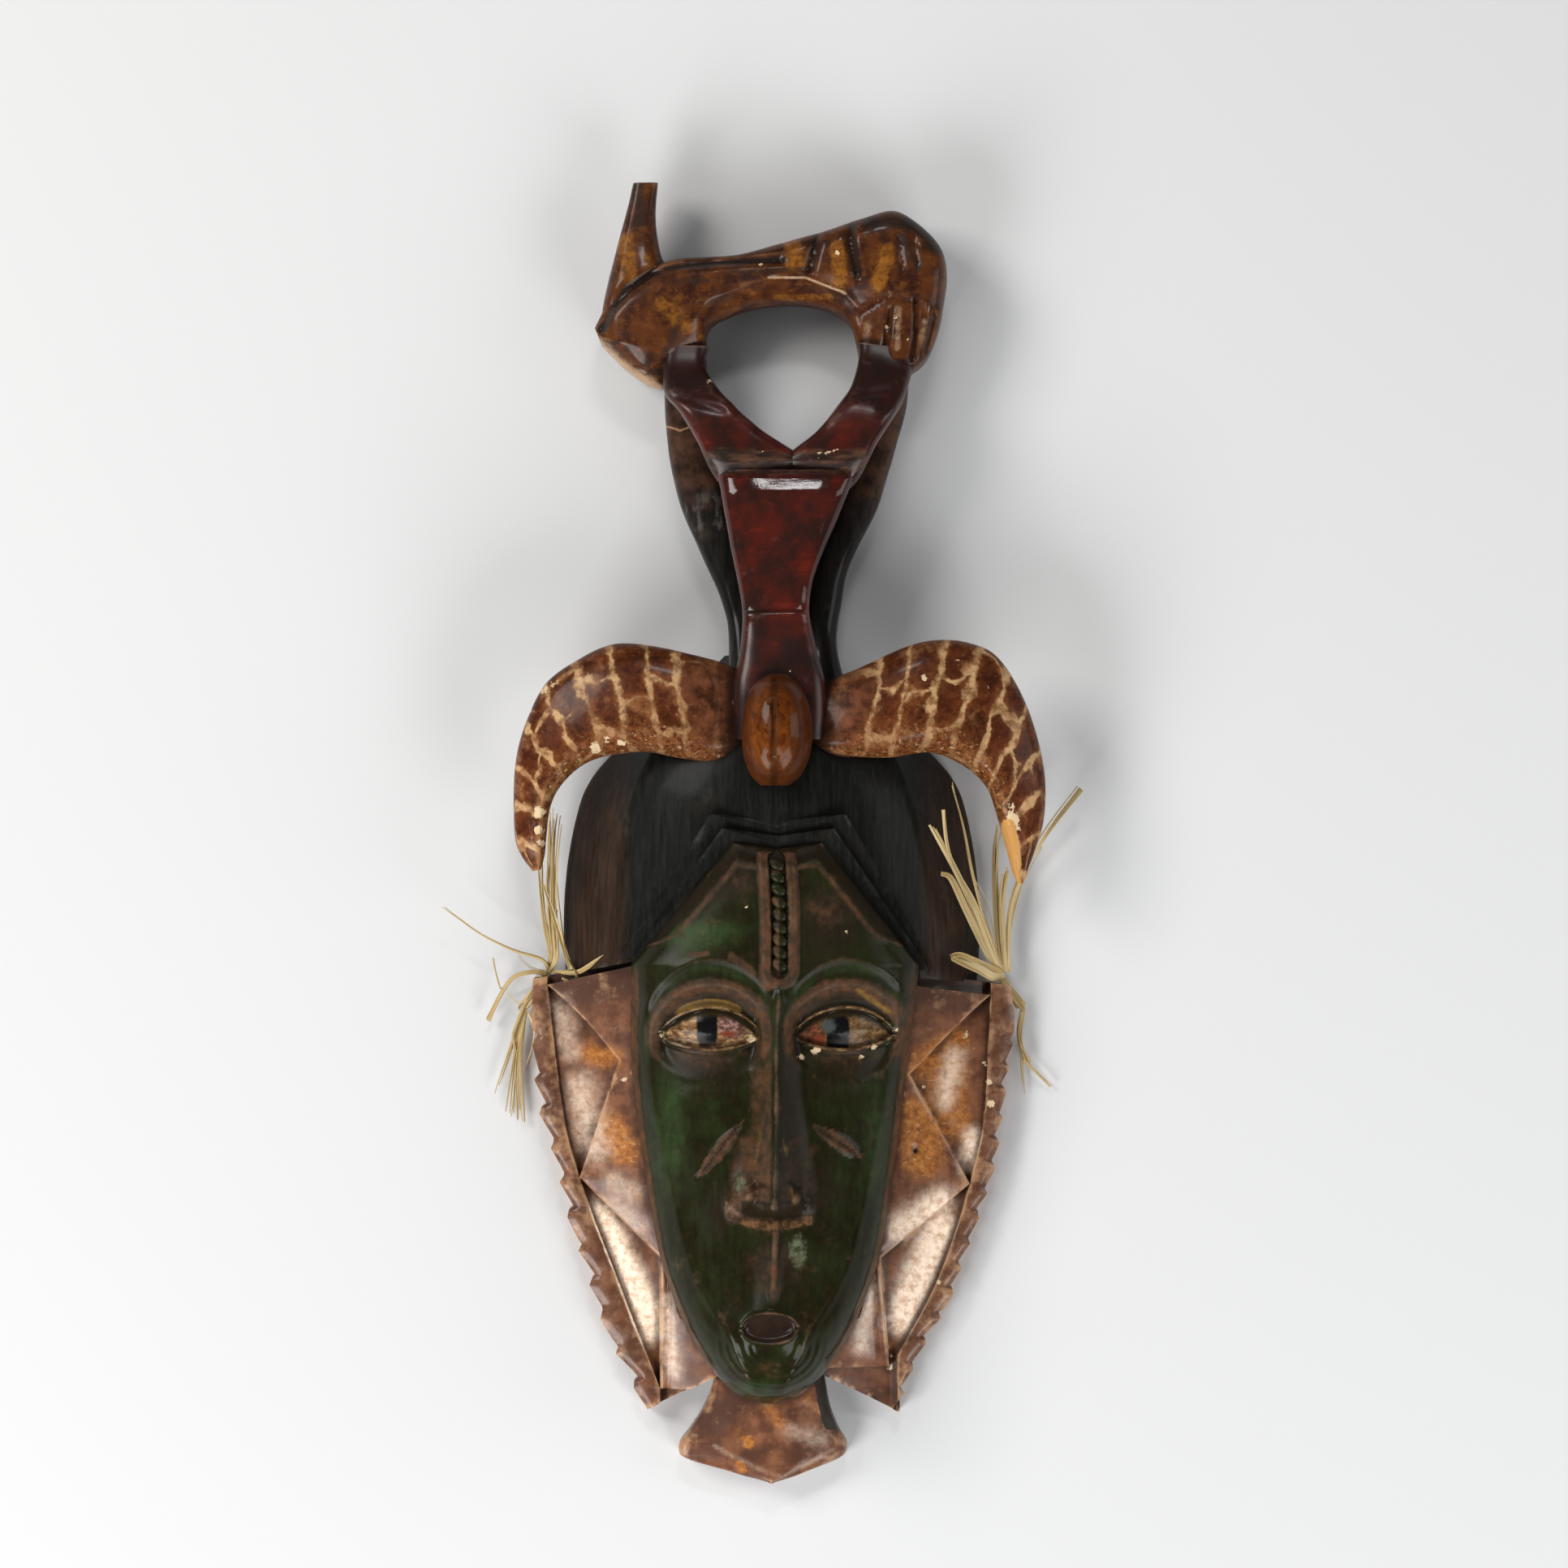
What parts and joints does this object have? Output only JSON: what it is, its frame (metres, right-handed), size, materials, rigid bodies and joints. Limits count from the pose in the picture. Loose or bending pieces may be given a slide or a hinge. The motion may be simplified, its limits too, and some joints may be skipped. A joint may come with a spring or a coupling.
{
  "type": "guro mask",
  "caption": "Carved and painted wooden face mask, hollow at the back, with two curled horns, a toothed collar and an openwork crest of a figure bearing an animal.",
  "frame": {"origin": "under the middle of the outline, on the plane that the back rim rests on", "axes": "+X to the right of the face, +Y from the chin to the crest, +Z out of the face"},
  "size_m": [0.2535, 0.5498, 0.0835],
  "materials": {
    "painted_wood": "glossy varnish over green, black, red, orange and brown paint",
    "raffia": "dry matt raffia"
  },
  "bodies": {
    "root": {"carved_mask": "painted_wood", "raffia_left": "raffia", "raffia_right": "raffia"}
  },
  "joints": []
}
